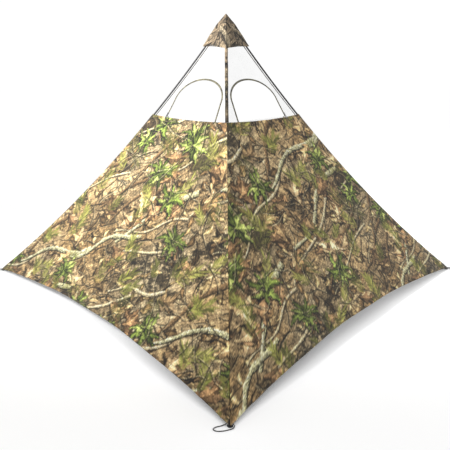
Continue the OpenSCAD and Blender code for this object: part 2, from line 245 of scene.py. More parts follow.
def grid_faces(rows, cols, start=0, wrap=False):
    """Quads of a grid of points; wrap joins its last column to its first."""
    j, i = np.mgrid[0:rows - 1, 0:cols if wrap else cols - 1]
    a, b = start + j * cols + i, start + j * cols + (i + 1) % cols
    return np.stack([a, b, b + cols, a + cols], -1).reshape(-1, 4)


def stake_loop(leg):
    """A braided cord loop, sewn with both ends into the corner pocket."""
    route = np.array(FRONT_ROUTE if leg == "front" else SIDE_ROUTE) / 1000
    line = spline(route, ROUTE_STEPS)
    az = math.radians(AZIMUTH[leg])
    r = FOOT_R + line[:, 0]
    path = np.stack([r * math.cos(az) - line[:, 1] * math.sin(az),
                     HUB_Y + r * math.sin(az) + line[:, 1] * math.cos(az), line[:, 2]], -1)
    along = np.gradient(path, axis=0)
    along /= np.linalg.norm(along, axis=1, keepdims=True)
    side = np.cross(along, [0, 0, 1.0])
    side /= np.linalg.norm(side, axis=1, keepdims=True)
    up = np.cross(side, along)
    run = np.concatenate([[0], np.cumsum(np.linalg.norm(np.diff(path, axis=0), axis=1))])
    a = np.linspace(0, 2 * math.pi, CORD_SIDES, endpoint=False)
    thick = np.full(len(path), LOOP_D / 2)
    thick[[0, -1]] = CORD_END_R
    ring = np.cos(a)[None, :, None] * side[:, None] + np.sin(a)[None, :, None] * up[:, None]
    points = path[:, None] + thick[:, None, None] * ring
    uv = np.stack(np.broadcast_arrays(a[None] * LOOP_D / 2, run[:, None]), -1)
    piece = new_piece(f"{leg}_loop_cord", points.reshape(-1, 3),
                      grid_faces(len(path), CORD_SIDES, 0, True)[:, ::-1], (), uv=uv.reshape(-1, 2))
    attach(piece, f"{leg}_leg")
    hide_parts(f"{leg}_stake_loop")
    return piece


loops = [stake_loop(leg) for leg in LEGS]

# --- the printed cloth: an own leaf-litter pattern, painted on a repeat of cloth --------------

SEED = 41
TILE_W, TILE_H = 1.60, 1.36
DOT = 0.0032
NX, NY = int(TILE_W / DOT), int(TILE_H / DOT)
paint = np.random.default_rng(SEED)


def clouds(power, stretch=1.0, angle=0.0):
    """Seamless noise from -1 to 1 over the tile, drawn out along angle by stretch."""
    fx = np.fft.fftfreq(NX, DOT)[None, :]
    fy = np.fft.fftfreq(NY, DOT)[:, None]
    along = fx * math.cos(angle) + fy * math.sin(angle)
    across = -fx * math.sin(angle) + fy * math.cos(angle)
    f = np.sqrt((along * stretch) ** 2 + across ** 2 + 1.0)
    field = np.fft.ifft2(np.fft.fft2(paint.standard_normal((NY, NX))) / f ** power).real
    return np.clip(field / (2.2 * field.std()), -1, 1)


def spot_at(cx, cy, reach):
    """Index and offsets in metres of the tile's dots within reach of a place."""
    k = int(reach / DOT) + 2
    cols = np.arange(int(cx / DOT) - k, int(cx / DOT) + k + 1)
    rows = np.arange(int(cy / DOT) - k, int(cy / DOT) + k + 1)
    return np.ix_(rows % NY, cols % NX), (cols * DOT - cx)[None, :], (rows * DOT - cy)[:, None]


def cover(inside):
    """How much of a dot lies inside an edge, by its distance in metres inside it."""
    return np.clip(inside / DOT + 0.5, 0, 1)


def lay_on(tile, spot, mask, colour):
    """Paint a colour over a spot, as far as mask says."""
    tile[spot] = tile[spot] * (1 - mask[..., None]) + colour * mask[..., None]


def leaf(tile, cx, cy, length, angle, colour, lobes=3, depth=0.5, width=0.34, shadow=0.5):
    """A lobed leaf, stem at its start, with a shadow under it, ribs and mottled halves."""
    ragged = 0.18
    spot, x, y = spot_at(cx, cy, 0.8 * length)
    c, s = math.cos(angle), math.sin(angle)
    bend = paint.uniform(-1.4, 1.4) / length
    phase = paint.uniform(2.2, 4.0)
    skew = paint.uniform(0.3, 1.2)
    light = paint.choice([-1.0, 1.0])
    rough = paint.uniform(-1, 1, 16)

    def at(dx, dy):
        u = (c * (x - dx) + s * (y - dy)) / length + 0.5
        v = -s * (x - dx) + c * (y - dy) + bend * ((u - 0.5) * length) ** 2
        k = np.clip((u * 8).astype(int), 0, 7) + 8 * (v > 0)
        point = np.clip(1 - u, 0, 1) ** 0.45 * np.clip(u * 3.2, 0, 1) ** 0.7
        lean = u - 0.9 * np.abs(v) / length
        wave = 1 - depth * (0.5 + 0.5 * np.cos(2 * math.pi * lobes * lean + phase + skew * (v > 0)))
        return u, v, width * length * point * wave * (1 + ragged * rough[k])

    u, v, w = at(0.005, -0.006)
    tile[spot] *= 1 - (cover(w - np.abs(v)) * (u > 0) * (u < 1) * shadow)[..., None]
    u, v, w = at(0, 0)
    inside = (u > 0) * (u < 1)
    mask = cover(w - np.abs(v)) * inside
    lit = 1 + 0.17 * np.sign(v) * light + 0.13 * paint.standard_normal(u.shape)
    lit = lit + 0.18 * np.sin(9 * u + phase) - 0.22 * smooth(1 - (w - np.abs(v)) / 0.007)
    rib = np.abs((lobes * 2 * (u - 0.55 * np.abs(v) / length)) % 1 - 0.5)
    lit = lit + 0.22 * (rib < 0.08) + 0.40 * (np.abs(v) < 0.0018)
    lay_on(tile, spot, mask, np.clip(colour * lit[..., None], 0, 1))
    lay_on(tile, spot, cover(0.0013 - np.abs(v)) * (u < 0.02) * (u > -0.2) * 0.7, colour * 1.15)


def stick(tile, x0, y0, length, angle, thick, colour, bark=0.25, bend=0.05, dark=0.45):
    """A branch or twig as a chain of short strokes, lit above, with a shadow below."""
    steps = max(6, int(length / (0.6 * thick + 0.004)))
    t = np.linspace(0, 1, steps)
    sway = bend * np.sin(2 * math.pi * (t * paint.uniform(0.6, 1.4) + paint.uniform(0, 1)))
    px = x0 + t * length * math.cos(angle) - sway * length * math.sin(angle)
    py = y0 + t * length * math.sin(angle) + sway * length * math.cos(angle)
    knots = 1 + 0.18 * np.sin(37 * t + paint.uniform(0, 6)) + 0.12 * paint.standard_normal(steps)
    for k in range(steps - 1):
        cx, cy = (px[k] + px[k + 1]) / 2, (py[k] + py[k + 1]) / 2
        run = np.hypot(px[k + 1] - px[k], py[k + 1] - py[k])
        a = math.atan2(py[k + 1] - py[k], px[k + 1] - px[k])
        half = thick / 2 * knots[k] * (1 - 0.55 * t[k])
        spot, x, y = spot_at(cx, cy, run + 2 * thick)
        u = math.cos(a) * x + math.sin(a) * y
        v = -math.sin(a) * x + math.cos(a) * y
        caps = cover(0.62 * run - np.abs(u))
        tile[spot] *= 1 - (dark * caps * cover(half + 0.003 - np.abs(v + 0.004)))[..., None]
        lit = 1 + 0.35 * np.clip(v / half, -1, 1) + bark * paint.standard_normal(v.shape)
        lay_on(tile, spot, caps * cover(half - np.abs(v)), np.clip(colour * lit[..., None], 0, 1))


def spray(tile, cx, cy, length, angle, colour, count=30, spread=0.9, blade=0.0032):
    """A shoot with narrow leaves or needles on both sides."""
    for k in range(count):
        along = k / count
        sx = cx + 0.7 * length * along * math.cos(angle)
        sy = cy + 0.7 * length * along * math.sin(angle)
        lean = angle + (1 if k % 2 else -1) * spread * (1 - 0.5 * along) * paint.uniform(0.6, 1.1)
        run = length * paint.uniform(0.22, 0.42)
        spot, x, y = spot_at(sx, sy, run)
        u = math.cos(lean) * x + math.sin(lean) * y
        v = -math.sin(lean) * x + math.cos(lean) * y
        thin = blade * np.sin(math.pi * np.clip(u / run, 0, 1)) ** 0.7
        mask = cover(thin - np.abs(v)) * (u > 0) * (u < run)
        lay_on(tile, spot, mask * 0.88, colour * paint.uniform(0.62, 1.3))


def srgb(*rgb):
    """An on-screen colour, from 0 to 255, as shares."""
    return np.array(rgb) / 255.0


TAUPE, BARK, PALE = srgb(158, 136, 106), srgb(104, 84, 62), srgb(206, 192, 164)
DEAD = [srgb(168, 142, 104), srgb(134, 108, 76), srgb(192, 166, 124), srgb(112, 90, 64)]
OAK = [srgb(172, 142, 106), srgb(154, 120, 88), srgb(192, 164, 130), srgb(142, 112, 84)]
LICHEN = srgb(172, 170, 140)
GREEN = [srgb(100, 118, 52), srgb(118, 138, 66), srgb(80, 94, 46), srgb(134, 150, 80)]
OLIVE = [srgb(126, 134, 62), srgb(146, 152, 70), srgb(106, 112, 54), srgb(160, 164, 84)]
ROSETTE = 9
SCREEN_GAMMA = 2.2
GREYED = 0.12
CONTRAST = 0.30
INKS = [0.85, 0.79, 0.61]


def paint_tile():
    """One repeat of the print, as shown on a screen: ground first, then litter, wood and green."""
    tile = np.empty((NY, NX, 3))
    grain = clouds(0.8, 8.0, math.radians(-32))
    streak = clouds(0.7, 12.0, math.radians(50))
    patch = clouds(2.2)
    fleck = clouds(0.35)
    tone = 1 + 0.12 * patch + 0.34 * grain + 0.30 * streak + 0.36 * fleck
    warm = clouds(2.0)
    tile[:] = TAUPE
    tile *= tone[..., None]
    tile[..., 0] *= 1 + 0.06 * warm
    tile[..., 2] *= 1 - 0.10 * warm
    dark = smooth((clouds(1.25, 2.0, math.radians(-20)) - 0.28) / 0.25)
    tile *= (1 - 0.50 * dark)[..., None]

    def place():
        return paint.uniform(0, TILE_W), paint.uniform(0, TILE_H)

    def turn():
        return paint.uniform(0, 2 * math.pi)

    # dead leaves and small twigs on the ground
    for _ in range(280):
        leaf(tile, *place(), paint.uniform(0.04, 0.09), turn(),
             DEAD[paint.integers(4)] * paint.uniform(0.7, 1.05), lobes=paint.uniform(1.5, 3),
             depth=paint.uniform(0.1, 0.4), shadow=0.5)
    for _ in range(150):
        stick(tile, *place(), paint.uniform(0.06, 0.3), turn(), paint.uniform(0.0025, 0.005),
              (BARK if paint.uniform() < 0.55 else PALE) * paint.uniform(0.6, 1.0), bark=0.2)
    # thick dark branches, pale ones, and a few with lichen
    for _ in range(5):
        stick(tile, *place(), paint.uniform(0.5, 0.9), math.radians(paint.uniform(-55, -20)),
              paint.uniform(0.022, 0.034), BARK * paint.uniform(1.0, 1.4), bend=0.03)
    for _ in range(7):
        stick(tile, *place(), paint.uniform(0.4, 0.8), math.radians(paint.uniform(-38, -12)),
              paint.uniform(0.014, 0.022), PALE * 0.92, bark=0.24, bend=0.04)
    for _ in range(4):
        stick(tile, *place(), paint.uniform(0.5, 0.9), math.radians(paint.uniform(-45, -15)),
              paint.uniform(0.030, 0.042), LICHEN, bark=0.34, bend=0.05, dark=0.6)
    # clusters of brown oak leaves
    for _ in range(34):
        a, (cx, cy) = turn(), place()
        for k in range(paint.integers(2, 5)):
            leaf(tile, cx + paint.uniform(-0.03, 0.03), cy + paint.uniform(-0.03, 0.03),
                 paint.uniform(0.12, 0.19), a + paint.uniform(-1.0, 1.0),
                 OAK[paint.integers(4)] * paint.uniform(0.75, 1.15), depth=0.55, shadow=0.5)
    # olive shoots, broad and needle-leaved
    for _ in range(34):
        spray(tile, *place(), paint.uniform(0.14, 0.24), math.radians(paint.uniform(30, 150)),
              OLIVE[paint.integers(4)])
    for _ in range(14):
        spray(tile, *place(), paint.uniform(0.18, 0.26), turn(), OLIVE[paint.integers(4)] * 0.9,
              count=40, spread=1.2, blade=0.0016)
    # green rosettes
    for _ in range(10):
        cx, cy = place()
        start = turn()
        for k in range(ROSETTE):
            a = start + k * 2 * math.pi / ROSETTE + paint.uniform(-0.35, 0.35)
            size = paint.uniform(0.10, 0.155)
            leaf(tile, cx + 0.40 * size * math.cos(a), cy + 0.40 * size * math.sin(a), size, a,
                 GREEN[paint.integers(4)] * paint.uniform(0.75, 1.15), depth=0.6, width=0.26,
                 shadow=0.6)
    # thin pale twigs over everything
    for _ in range(110):
        stick(tile, *place(), paint.uniform(0.08, 0.30), turn(), paint.uniform(0.002, 0.0038),
              PALE * paint.uniform(0.75, 1.05), bark=0.1, dark=0.35)
    return np.clip(tile, 0.02, 1)


def inked(tile):
    """The tile as light reflected by the cloth: a little greyed, with more contrast, and warmer."""
    light = tile ** SCREEN_GAMMA
    shade = light.mean(-1, keepdims=True)
    light = (1 - GREYED) * light + GREYED * shade
    return np.clip(light * (shade / shade.mean()) ** CONTRAST * INKS, 0.004, 1)


PRINT = inked(paint_tile())


def printed(x, y):
    """Colour of the print at a place on the cloth, in metres, blended between dots."""
    gx, gy = (x / DOT) % NX, (y / DOT) % NY
    i, j = np.floor(gx).astype(int) % NX, np.floor(gy).astype(int) % NY
    fx, fy = (gx - np.floor(gx))[..., None], (gy - np.floor(gy))[..., None]
    i1, j1 = (i + 1) % NX, (j + 1) % NY
    low = PRINT[j, i] * (1 - fx) + PRINT[j, i1] * fx
    high = PRINT[j1, i] * (1 - fx) + PRINT[j1, i1] * fx
    return low * (1 - fy) + high * fy


BARK_BROWN = np.array([1.30, 0.98, 0.66])


def brown_print(x, y, gain, share=0.3):
    """The print in mostly one brown, as where only bark falls: gain for its brightness, and the
    share of its own colours that it keeps."""
    c = printed(x, y)
    return gain * (share * c + (1 - share) * c.mean(-1, keepdims=True) * BARK_BROWN)


# --- materials -------------------------------------------------------------------------------

WEAVE = 0.0012
NET_PITCH = 0.0024


def material(name, colour, rough):
    """A material, its node tree and its shader."""
    m = bpy.data.materials.new(name)
    m.use_nodes = True
    shader = m.node_tree.nodes["Principled BSDF"]
    shader.inputs["Base Color"].default_value = (*colour, 1)
    shader.inputs["Roughness"].default_value = rough
    return m, m.node_tree, shader


def add(nt, kind, **values):
    """A node with its sockets or its settings filled in."""
    node = nt.nodes.new(kind)
    for key, value in values.items():
        if key in node.inputs:
            node.inputs[key].default_value = value
        else:
            setattr(node, key, value)
    return node


def maths(nt, operation, *values):
    """The output of a maths node; its values are outputs or numbers."""
    node = add(nt, "ShaderNodeMath", operation=operation)
    for socket, value in zip(node.inputs, values):
        if hasattr(value, "is_output"):
            nt.links.new(value, socket)
        else:
            socket.default_value = value
    return node.outputs[0]


def times(nt, colour, factor):
    """A colour made lighter or darker by a factor."""
    node = add(nt, "ShaderNodeVectorMath", operation="SCALE")
    nt.links.new(colour, node.inputs[0])
    nt.links.new(factor, node.inputs["Scale"])
    return node.outputs[0]


def weave_height(nt, pitch):
    """Plain weave from two crossing waves over the cloth's own coordinates."""
    uv = add(nt, "ShaderNodeUVMap", uv_map="cloth").outputs["UV"]
    split = add(nt, "ShaderNodeSeparateXYZ")
    nt.links.new(uv, split.inputs[0])
    warp = maths(nt, "SINE", maths(nt, "MULTIPLY", split.outputs[0], 2 * math.pi / pitch))
    weft = maths(nt, "SINE", maths(nt, "MULTIPLY", split.outputs[1], 2 * math.pi / pitch))
    return maths(nt, "MULTIPLY", warp, weft), uv


def bump(nt, shader, height, strength, distance):
    """Relief on a shader, as deep as distance in metres."""
    node = add(nt, "ShaderNodeBump", Strength=strength, Distance=distance)
    nt.links.new(height, node.inputs["Height"])
    nt.links.new(node.outputs[0], shader.inputs["Normal"])


def mottle(nt, shader, at, dark, light, stops=(0, 1), **noise):
    """A base colour that wanders from dark to light over a noise, and the noise's output."""
    source = add(nt, "ShaderNodeTexNoise", **noise)
    nt.links.new(at, source.inputs["Vector"])
    ramp = add(nt, "ShaderNodeValToRGB")
    for element, stop, colour in zip(ramp.color_ramp.elements, stops, (dark, light)):
        element.position = stop
        element.color = (*colour, 1)
    nt.links.new(source.outputs["Fac"], ramp.inputs["Fac"])
    nt.links.new(ramp.outputs["Color"], shader.inputs["Base Color"])
    return source.outputs["Fac"]


def cloth_material(name):
    """Printed woven cloth: the mesh's own colours, with threads, specks and fading."""
    m, nt, shader = material(name, (0.3, 0.25, 0.17), 0.86)
    shader.inputs["Sheen Weight"].default_value = 0.12
    shader.inputs["Sheen Roughness"].default_value = 0.5
    shader.inputs["Specular IOR Level"].default_value = 0.25
    height, uv = weave_height(nt, WEAVE)
    colour = add(nt, "ShaderNodeVertexColor", layer_name="Print").outputs["Color"]
    speck = add(nt, "ShaderNodeTexNoise", Scale=620.0, Detail=3.0, Roughness=0.65)
    nt.links.new(uv, speck.inputs["Vector"])
    fade = add(nt, "ShaderNodeTexNoise", Scale=7.0, Detail=2.0)
    nt.links.new(uv, fade.inputs["Vector"])
    thread = maths(nt, "MULTIPLY_ADD", height, 0.05, 0.40)
    fine = maths(nt, "MULTIPLY_ADD", speck.outputs["Fac"], 0.62, thread)
    worn = maths(nt, "MULTIPLY_ADD", fade.outputs["Fac"], 0.16, fine)
    nt.links.new(times(nt, colour, worn), shader.inputs["Base Color"])
    bump(nt, shader, height, 0.25, 0.0003)
    return m


def black_cloth(name):
    """The coated black inside of the cloth."""
    m, nt, shader = material(name, (0.020, 0.019, 0.021), 0.62)
    shader.inputs["Sheen Weight"].default_value = 0.25
    height, uv = weave_height(nt, WEAVE)
    mottle(nt, shader, uv, (0.017, 0.016, 0.018), (0.032, 0.030, 0.033), Scale=5.0, Detail=4.0)
    bump(nt, shader, height, 0.3, 0.0003)
    return m


def net_material():
    """Fine netting, nearly clear, denser where it folds."""
    m, nt, shader = material("netting", (0.50, 0.50, 0.49), 0.6)
    height, uv = weave_height(nt, NET_PITCH)
    fold = add(nt, "ShaderNodeTexNoise", Scale=9.0, Detail=3.0, Distortion=0.4)
    nt.links.new(uv, fold.inputs["Vector"])
    holes = maths(nt, "MULTIPLY_ADD", height, 0.03, 0.03)
    alpha = maths(nt, "MULTIPLY_ADD", fold.outputs["Fac"], 0.14, holes)
    nt.links.new(alpha, shader.inputs["Alpha"])
    return m


def tape_material(name, dark, light, pitch):
    """Woven tape or braid, mottled from dark to light."""
    m, nt, shader = material(name, dark, 0.8)
    shader.inputs["Sheen Weight"].default_value = 0.2
    height, uv = weave_height(nt, pitch)
    mottle(nt, shader, uv, dark, light, (0.35, 0.65), Scale=28.0, Detail=4.0)
    bump(nt, shader, height, 0.5, 0.0005)
    return m


def hard_material(name, colour, rough, metallic=0.0, scale=60.0, spread=0.12, relief=0.1):
    """Moulded, drawn or pultruded stuff: its own grain from the object's coordinates."""
    m, nt, shader = material(name, colour, rough)
    shader.inputs["Metallic"].default_value = metallic
    at = add(nt, "ShaderNodeTexCoord").outputs["Object"]
    dark = [c * (1 - spread) for c in colour]
    light = [min(1, c * (1 + spread) + 0.01) for c in colour]
    grain = mottle(nt, shader, at, dark, light, Scale=scale, Detail=5.0)
    gloss = maths(nt, "MULTIPLY_ADD", grain, 0.18, rough - 0.09)
    nt.links.new(gloss, shader.inputs["Roughness"])
    bump(nt, shader, grain, relief, 0.0004)
    return m


CAMO = cloth_material("camo_cloth")
BLACK = black_cloth("black_backing")
NET = net_material()
ZIP = tape_material("zip_tape", (0.030, 0.026, 0.015), (0.14, 0.125, 0.065), 0.0016)
CORD = tape_material("loop_braid", (0.012, 0.012, 0.012), (0.05, 0.05, 0.045), 0.002)
ROD = hard_material("fibreglass", (0.014, 0.013, 0.012), 0.5, scale=90, spread=0.3, relief=0.05)
MOULDED = hard_material("moulded_nylon", (0.022, 0.022, 0.023), 0.5, scale=220, relief=0.2)
STEEL = hard_material("zinc_steel", (0.55, 0.55, 0.56), 0.32, metallic=1.0, scale=140)
ELASTIC = hard_material("elastic", (0.55, 0.55, 0.52), 0.8, scale=400, relief=0.4)

# --- cloth making ----------------------------------------------------------------------------

def shell(name, outer, inner, uv, materials, colour=None, flip=False):
    """A closed thin sheet between two grids of points, outer first. The rim and the outer side
    take the first material, the inner side the last."""
    rows, cols = outer.shape[:2]
    half = rows * cols
    front = grid_faces(rows, cols)
    back = grid_faces(rows, cols, half)[:, ::-1]
    rim = np.concatenate([np.arange(cols), np.arange(1, rows) * cols + cols - 1,
                          (rows - 1) * cols + np.arange(cols - 2, -1, -1),
                          np.arange(rows - 2, 0, -1) * cols])
    after = np.roll(rim, -1)
    edge = np.stack([after, rim, rim + half, after + half], -1)
    faces = np.concatenate([front, back, edge])
    if flip:
        faces = faces[:, ::-1]
    slots = np.zeros(len(faces), int)
    slots[len(front):len(front) + len(back)] = len(materials) - 1
    points = np.concatenate([outer.reshape(-1, 3), inner.reshape(-1, 3)])
    both = np.concatenate([uv.reshape(-1, 2)] * 2)
    tint = None if colour is None else np.concatenate([colour.reshape(-1, 3)] * 2)
    return new_piece(name, points, faces, materials, slots, both, tint)


def cut_area(points):
    """Area of a grid of points, in square metres."""
    a = np.cross(points[1:, 1:] - points[:-1, :-1], points[1:, :-1] - points[:-1, 1:])
    return float(np.linalg.norm(a, axis=-1).sum() / 2)


def follow(piece):
    """Bakes a sheet's placement into its mesh."""
    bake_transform(piece)


FREE_SHARE = 0.62


def leg_weight(s, z):
    """How far a place on a wall goes with the nearer leg: wholly from FREE_SHARE of the way there."""
    return smooth(np.abs(s) / half_span(z) / FREE_SHARE)


def half_of(leg):
    """Name of the half of a wall that is next to a leg."""
    return "front" if leg == "front" else "side"


# --- walls -----------------------------------------------------------------------------------

WALL_THICK = 0.0013
WALL_COLS, WALL_ROWS = 190, 236
# As shares of a wall's height: the hem's width and half the width of the painted shade line along its
# folded edge
HEM_W = 0.020
HEM_SHADE_W = 0.0022
# How much the painted shade line along each hem's folded edge darkens the print
HEM_SHADE_DARK = 0.72
# Where each wall's middle lies on the print
PRINT_AT = {"left": (0.15, 0.30), "right": (0.95, 0.75)}


def rail_height(u):
    """Height of a wall's upper edge, at u from 0 at its middle to 1 at a pole."""
    return RAIL_Z - RAIL_SAG * (1 - u * u)


def hem_height(u):
    """Height of a wall's hem, at u from 0 at its middle to 1 at a pole."""
    return HEM_Z + HEM_LIFT * (1 - u * u)


def tension(u, v):
    """Faint pulls from the feet, slack waves along both edges and a slight belly, outwards."""
    near_foot = np.exp(-((1 - np.abs(u)) / 0.16) ** 2) * np.exp(-(v / 0.3) ** 2)
    pulls = 0.0016 * near_foot * np.sin(46 * (1 - np.abs(u)) + 30 * v)
    wave = 0.0030 * np.exp(-(v / 0.10) ** 2) * np.sin(11 * u + 0.8) * (1 - u ** 2)
    rail = 0.0022 * np.exp(-((1 - v) / 0.06) ** 2) * np.sin(15 * u + 0.5) * (1 - u ** 2)
    belly = 0.0020 * np.sin(math.pi * np.clip(v, 0, 1)) * np.sin(3.1 * u + 2 * v) * (1 - u ** 2)
    return pulls + wave + rail + belly


def wall_half(side, leg):
    """The half of a wall next to one leg: print outside, black inside, hemmed above and below."""
    sign = SIDES[side]
    at_front = leg == "front"
    u, v = np.meshgrid(np.linspace(0, 1, WALL_COLS), np.linspace(0, 1, WALL_ROWS))
    u = -u if at_front else u
    hem, rail = hem_height(u), rail_height(u)
    z = hem + (rail - hem) * v
    span = half_span(z)

    def skin(off):
        extra = off * math.tan(HALF_WALL) - 0.0002 if at_front else 0.0045
        s = u * (span + extra)
        hem_fold = 0.0005 * ((v < HEM_W) | (1 - v < HEM_W))
        roll = 0.0 if at_front else 0.0035 * smooth((u * span - span + 0.03) / 0.03)
        return s, wall_pt(s, off + tension(u, v) + np.sign(off - CLOTH_IN - 0.0001) * hem_fold
                          - roll * 0.6, z, sign)

    s, outer = skin(CLOTH_IN + WALL_THICK)
    _, inner = skin(CLOTH_IN)
    rise = arc_at(HEM_Z) - arc_at(z)
    x0, y0 = PRINT_AT[side]
    uv = np.stack([x0 + s * sign, y0 + rise], -1)
    colour = printed(uv[..., 0], uv[..., 1])
    # Painted shade: a darker line along each hem's folded edge, top and bottom
    hem_shade = (np.abs(v - HEM_W) < HEM_SHADE_W) | (np.abs(1 - v - HEM_W) < HEM_SHADE_W)
    colour = colour * np.where(hem_shade, HEM_SHADE_DARK, 1.0)[..., None]
    piece = shell(f"{side}_wall_{half_of(leg)}", outer, inner, uv, (CAMO, BLACK), colour,
                  flip=(sign < 0) == at_front)
    follow(piece)
    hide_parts(f"{side}_wall")


for side in SIDES:
    wall_half(side, "front")
    wall_half(side, side)

# --- sleeves and pockets ---------------------------------------------------------------------

# Where they start and end along a pole, and their radius
SLEEVE_RUNS = [(0.642, 0.776), (0.798, 1.838), (1.860, ARC_L - 0.078)]
POCKET_RUN = (ARC_L - 0.076, ARC_L - 0.020)
SEAM_RUN = (0.112, 0.640)
SLEEVE_R, POCKET_R, SEAM_R = 0.0074, 0.0077, 0.0088
SLEEVE_THICK = 0.0009
SEAM_TINT, SEAM_SHARE = 0.45, 0.15
RING = 28
# How far a side sleeve's cloth is drawn out to its seam, and where, in radians round the pole
TAIL = 0.0015
TAIL_TO = {"left": -math.pi / 2, "right": math.pi / 2}


def tube(name, leg, run, radius, uv_at, materials, tail=0.0, tail_to=0.0, step=0.006, tint=printed):
    """A cloth sleeve round a pole: a closed tube with a wall, gathered a little at its ends and
    drawn out to a sewn tail on the side tail_to (radians round the pole)."""
    start, stop = run
    rows = max(8, int((stop - start) / step))
    a, v = np.meshgrid(np.linspace(0, 2 * math.pi, RING, endpoint=False), np.linspace(0, 1, rows))
    along = start + (stop - start) * v
    gather = 0.0006 * np.sin(5 * a + 40 * v) * (np.exp(-v / 0.02) + np.exp(-(1 - v) / 0.02))
    wrinkle = 0.00035 * np.sin(3 * a + 55 * along) + 0.0003 * np.sin(2 * a - 23 * along)
    from_tail = np.angle(np.exp(1j * (a - tail_to)))
    r = radius + gather + wrinkle + tail * np.exp(-(from_tail / 0.33) ** 2)
    outer = leg_pt(leg, along, r * np.cos(a), r * np.sin(a))
    bore = radius - SLEEVE_THICK
    inner = leg_pt(leg, along, bore * np.cos(a), bore * np.sin(a))
    half = rows * RING
    ends = []
    for row, turn in ((0, False), (rows - 1, True)):
        i = row * RING + np.arange(RING)
        j = row * RING + (np.arange(RING) + 1) % RING
        quad = np.stack([j, i, i + half, j + half], -1)
        ends.append(quad[:, ::-1] if turn else quad)
    faces = np.concatenate([grid_faces(rows, RING, 0, True),
                            grid_faces(rows, RING, half, True)[:, ::-1], *ends])[:, ::-1]
    x0, y0 = uv_at
    uv = np.stack([x0 + radius * np.abs(a - math.pi), y0 - along], -1)
    uv = np.concatenate([uv.reshape(-1, 2)] * 2)
    points = np.concatenate([outer.reshape(-1, 3), inner.reshape(-1, 3)])
    piece = new_piece(name, points, faces, materials, None, uv, tint(uv[:, 0], uv[:, 1]))
    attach(piece, f"{leg}_leg")
    return piece


def sleeves(leg):
    """The three sleeves and the corner pocket of a leg, black at the front leg, which lies inside."""
    stuff = (BLACK,) if leg == "front" else (CAMO,)
    tail = TAIL if leg in TAIL_TO else 0.0
    for k, run in enumerate(SLEEVE_RUNS):
        piece = tube(f"{leg}_sleeve_{k + 1}", leg, run, SLEEVE_R, (0.4 * k, 0.7), stuff, tail=tail,
                     tail_to=TAIL_TO.get(leg, 0.0))
        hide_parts(f"{leg}_sleeves")
    pocket = tube(f"{leg}_pocket", leg, POCKET_RUN, POCKET_R, (0.2, 0.1), stuff, step=0.003)
    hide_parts(f"{leg}_corner_pocket")


def seam_print(x, y):
    """The browner print of the sleeve between the two nettings."""
    return brown_print(x, y, SEAM_TINT, SEAM_SHARE)


for leg in LEGS:
    sleeves(leg)
seam = tube("front_seam_sleeve_cloth", "front", SEAM_RUN, SEAM_R, (0.62, 1.0), (CAMO,), step=0.004,
            tint=seam_print)
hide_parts("front_seam_sleeve")

# --- netting, zippers and edge tapes ---------------------------------------------------------

# The part of the way round that each straight side takes: of the window and of the net's border
SIDE_SHARE = 0.2
BORDER_SHARE = 0.36
NET_EDGE = 0.040
NET_TOP = 0.008
NET_THICK = 0.0004
NET_COLS, NET_ROWS = 60, 14
ZIP_COLS, ZIP_ROWS = 150, 9
ZIP_TEETH = 300
TAPE_AT = 0.042
TAPE_W = 0.008
TAPE_TINT = 0.20


def window_at(q, grow):
    """Outline of a window at q from 0 to 1 round its arch, widened by grow: s and z."""
    base = RAIL_Z - RAIL_SAG / 2
    m, sign = np.minimum(q, 1 - q), np.where(q < 0.5, -1, 1)
    low = np.clip(m / SIDE_SHARE, 0, 1)
    a = np.clip((m - SIDE_SHARE) / (0.5 - SIDE_SHARE), 0, 1) * math.pi / 2
    wide = WINDOW_W + (WINDOW_SHOULDER - WINDOW_W) * low + grow
    s = np.where(m < SIDE_SHARE, wide, (WINDOW_SHOULDER + grow) * np.cos(a))
    top = RAIL_Z + WINDOW_SIDE
    z = np.where(m < SIDE_SHARE, base + (top - base) * low, top + (WINDOW_RISE + grow) * np.sin(a))
    return sign * s - WINDOW_SHIFT, z


def net_border(q):
    """Outer border of the netting, from the front pole over the cap's hem to the free edge."""
    m, sign = np.minimum(q, 1 - q), np.where(q < 0.5, -1, 1)
    base, top = RAIL_Z - 0.003, CAP_Z + NET_TOP
    z = base + (top - base) * np.clip(m / BORDER_SHARE, 0, 1)
    reach = 1 - np.clip((m - BORDER_SHARE) / (0.5 - BORDER_SHARE), 0, 1)
    edge = np.where(q < 0.5, half_span(z) - 0.002, half_span(z) - NET_EDGE)
    return sign * edge * reach, z


def half_range(leg, count):
    """The half of the way round a window that is next to a leg."""
    return np.linspace(0, 0.5, count) if leg == "front" else np.linspace(0.5, 1, count)


def net_half(side, leg, trim):
    """The half of a netting panel next to one leg, round its half of the window."""
    q, p = np.meshgrid(half_range(leg, NET_COLS), np.linspace(0, 1, NET_ROWS))
    (sa, za), (sb, zb) = window_at(q, ZIP_W * 0.5), net_border(q)
    s, z = sa + (sb - sa) * p, za + (zb - za) * p
    share = np.clip((z - RAIL_Z) / (CAP_Z - RAIL_Z), 0, 1)
    ripple = np.sin(9 * math.pi * s / half_span(RAIL_Z)) * np.sin(math.pi * share)
    slack = 0.0016 * ripple * p * (1 - p) * 4
    outer = wall_pt(s, NET_OFF + NET_THICK + slack, z, SIDES[side])
    inner = wall_pt(s, NET_OFF + slack, z, SIDES[side])
    uv = np.stack([s, arc_at(RAIL_Z) - arc_at(z)], -1)
    piece = shell(f"{side}_net_{half_of(leg)}", outer, inner, uv, (NET,), flip=SIDES[side] > 0)
    follow(piece)
    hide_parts(f"{side}_netting")


